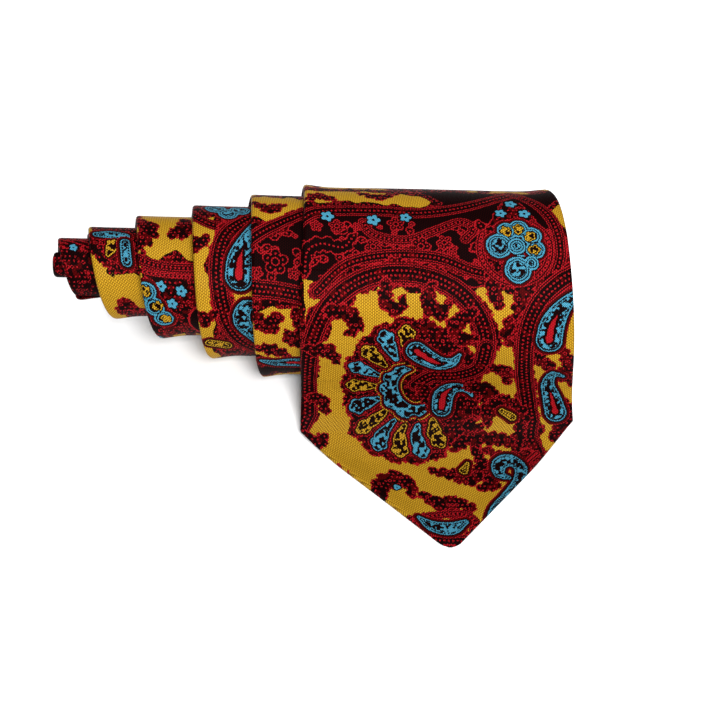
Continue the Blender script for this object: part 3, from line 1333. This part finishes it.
def thread_columns(half_width, half_height):
    """An oval in the middle of the seam."""
    c = Columns()
    for t in np.linspace(0, 2 * math.pi, 9)[:-1]:
        height = TIE_T - 0.2 - half_height * math.sin(t)
        c.add((0.0, 0.0, 0.5, 0.5), half_width * math.cos(t), height, 0, 0)
    return c


def stitch_piece(name, rows, nodes, move):
    """The slip stitch: a thread that zigzags between the two edges of the seam."""
    zig = 0.14 * np.sin(rows.v * 2 * math.pi / 4.5)
    rows.f0, rows.f1 = rows.f0 + zig, rows.f1 + zig
    piece(name, rows, thread_columns(0.17, 0.17), thread, "thread", nodes, move)


def blade_lift(key):
    return (0.9, 0.9) if key in ("point", "drop", "top", "back_1") else (1.3, 0.3)


# Trim on the back of the outermost turn
def trim_piece(name, a0, a1, half, profile, material, slot, nodes, move, pitch=0.4):
    """A band across the seam, over an arc of the roll. The profile gives height
    over the back of the cloth at shares of the half width."""
    rows = wound_rows(a0, a1, pitch)
    c = Columns()
    mid = (0.5, 0.5, 0, 0)
    shares = np.linspace(-1, 1, 41)
    low = np.array([profile(abs(s) * half)[0] for s in shares])
    high = np.array([profile(abs(s) * half)[1] for s in shares])
    for s, h in zip(shares, low):
        c.add(mid, s * half, TIE_T + h, 0, 0)
    for s, h in zip(shares[::-1], high[::-1]):
        c.add(mid, s * half, TIE_T + h, 0, 0)
    return piece(name, rows, c, material, slot, nodes, move, pattern=material is silk)


def loop_profile(x):
    rise = 0.3 * (1 - np.clip((x - 20) / 2.5, 0, 1))
    return 0.03 + rise, 0.5 + rise


def label_profile(x):
    return 0.02, 0.22


def folded_label_profile(x):
    return 0.02, 0.22 - 0.1 * (x > 28)


def tack_profile(x):
    return 0.0, 0.4 - 0.04 * x * x / 3


BEHIND = {"n": 1}
keeper = trim_piece(
    "keeper_loop_silk", 206, 227, 26, loop_profile, silk, "silk", ["keeper_loop"], BEHIND
)
makers = trim_piece(
    "makers_label_blank", 146, 165, 29, folded_label_profile,
    label_satin, "label", ["makers_label"], BEHIND,
)
care = trim_piece(
    "care_label_blank", 180, 195, 9, label_profile, label_satin, "label", ["care_label"], BEHIND
)
tack = trim_piece(
    "blade_bar_tack_thread", 84, 87, 3, tack_profile,
    thread, "thread", ["blade_bar_tack"], TOP_MOVE, 0.2,
)

V_SEAM = 130.0  # where the back seam starts
WOOL_PITCH, STITCH_PITCH = 1.2, 0.45
for key, v0, v1, move, pitch, fine, across in PARTS:
    rows = blade_rows(v0, v1, pitch)
    width = BLADE_W if fine == WHOLE else float((rows.right - rows.left).max())
    columns = shell_columns(front_fractions(width, fine, across), 46 if fine == WHOLE else 20)
    shells = node_list(SHELL_NODES, key)
    silk_piece(f"blade_silk_{key}", rows, columns, shells, move, blade_lift(key))
    wool_rows = blade_rows(max(v0, HEM / 2), v1, WOOL_PITCH)
    canvas_piece(f"blade_interlining_{key}", wool_rows, canvas_nodes(shells), move)
    if v1 > V_SEAM:
        seam_rows = blade_rows(max(v0, V_SEAM), v1, STITCH_PITCH)
        stitch_piece(f"blade_stitch_{key}", seam_rows, node_list(STITCH_NODES, key), move)

# The core, where the cloth folds back
CORE_START = 1760
columns = shell_columns(front_fractions(NECK_W, WHOLE, 0.5), 16)
core, on_core = core_rows(CORE_START, 0.5), {"body": "core"}
silk_piece("neck_silk_core", core, columns, ["neck_shell_core"], on_core, (0.1, 0.05))
canvas_piece("neck_interlining_core", core_rows(CORE_START, WOOL_PITCH), ["neck_canvas_core"], on_core)

# The tail half, from its own point to the core
TAIL_PARTS = [("end", TAIL_END, 500, {"body": "turn_2"})]
for n in range(2, 6):
    a, b = zone(n)
    TAIL_PARTS.append((f"back_{n}", a, b, {"n": n, "tail": True}))
    if n < 5:
        TAIL_PARTS.append((f"front_{n + 1}", b, b + 180, {"body": BODIES[n]}))
TAIL_NODES = {"end": "tail_shell_end", "front_3": "tail_shell_turn_3"}
TAIL_NODES |= {"front_4": "tail_shell_turn_4", "front_5": "neck_inner_shell_5"}
TAIL_STITCHES = {"end": "tail_slip_stitch_end", "front_3": "tail_slip_stitch_3"}
TAIL_STITCHES |= {"front_4": "tail_slip_stitch_4", "front_5": "neck_inner_stitch_5"}
WOOL_END, SEAM_END = 253, 380  # angles where they stop before the tail's point
columns = shell_columns(front_fractions(45, WHOLE, 0.7), 16)
for key, a, b, move in TAIL_PARTS:
    shells = node_list(TAIL_NODES, key)
    silk_piece(f"tail_silk_{key}", tail_rows(b, a, 0.6), columns, shells, move, (0.12, 0.12))
    wool_rows = tail_rows(b, max(a, WOOL_END), WOOL_PITCH)
    canvas_piece(f"tail_interlining_{key}", wool_rows, canvas_nodes(shells), move)
    seam_rows = tail_rows(b, max(a, SEAM_END), STITCH_PITCH)
    stitch_piece(f"tail_stitch_{key}", seam_rows, node_list(TAIL_STITCHES, key), move)


# Linings behind both points
def tipping_piece(name, rows, nodes, move):
    columns = band_columns((FLAP_0, 0.06), (FLAP_1, -0.06), TIE_T - TIPPING_T, TIE_T, 15)
    ob = piece(name, rows, columns, lining, "lining", nodes, move)


for key, v0, v1 in (("point", 12.8, V_BEND), ("drop", V_BEND, V_FRONT), ("top", V_FRONT, 124)):
    move = next(p[3] for p in PARTS if p[0] == key)
    node = {"point": "point", "drop": "front", "top": "top"}[key]
    tipping_piece(f"blade_lining_{key}", blade_rows(v0, v1, 0.8), [f"blade_tipping_{node}"], move)
tipping_piece("tail_lining", tail_rows(340, 268, 0.8), ["tail_tipping"], {"body": "turn_2"})


tack_rows = tail_rows(378, 352, 0.3)
piece(
    "tail_bar_tack_thread", tack_rows, thread_columns(0.3, 0.22), thread, "thread", ["tail_bar_tack"],
    {"body": "turn_2"},
)

# --------------------------------------------------------- floor and light

bpy.ops.mesh.primitive_plane_add(size=6, location=(0, 0, -0.0002))
floor = bpy.context.object
floor.name = "floor"
ground = Tree("pale_floor")
ground.set(Base_Color=(0.93, 0.93, 0.93), Roughness=0.9)
ground.shader.inputs["Specular IOR Level"].default_value = 0.1
floor.data.materials.append(ground.material)


def area_light(name, place, aim, size, power):
    data = bpy.data.lights.new(name, "AREA")
    data.size, data.energy = size, power
    ob = bpy.data.objects.new(name, data)
    ob.location = place
    ob.rotation_euler = (Vector(aim) - Vector(place)).to_track_quat("-Z", "Y").to_euler()
    bpy.context.scene.collection.objects.link(ob)


area_light("key", (0.12, -0.6, 0.62), (0, 0, 0.02), 0.24, 11.0)
area_light("top", (0.1, 0.1, 0.9), (0, 0, 0.02), 0.5, 6.0)
world = bpy.data.worlds.new("studio")
bpy.context.scene.world = world
world.use_nodes = True
world.node_tree.nodes["Background"].inputs[0].default_value = (1, 1, 1, 1)
world.node_tree.nodes["Background"].inputs[1].default_value = 0.34
bpy.context.scene.view_settings.view_transform = "Standard"
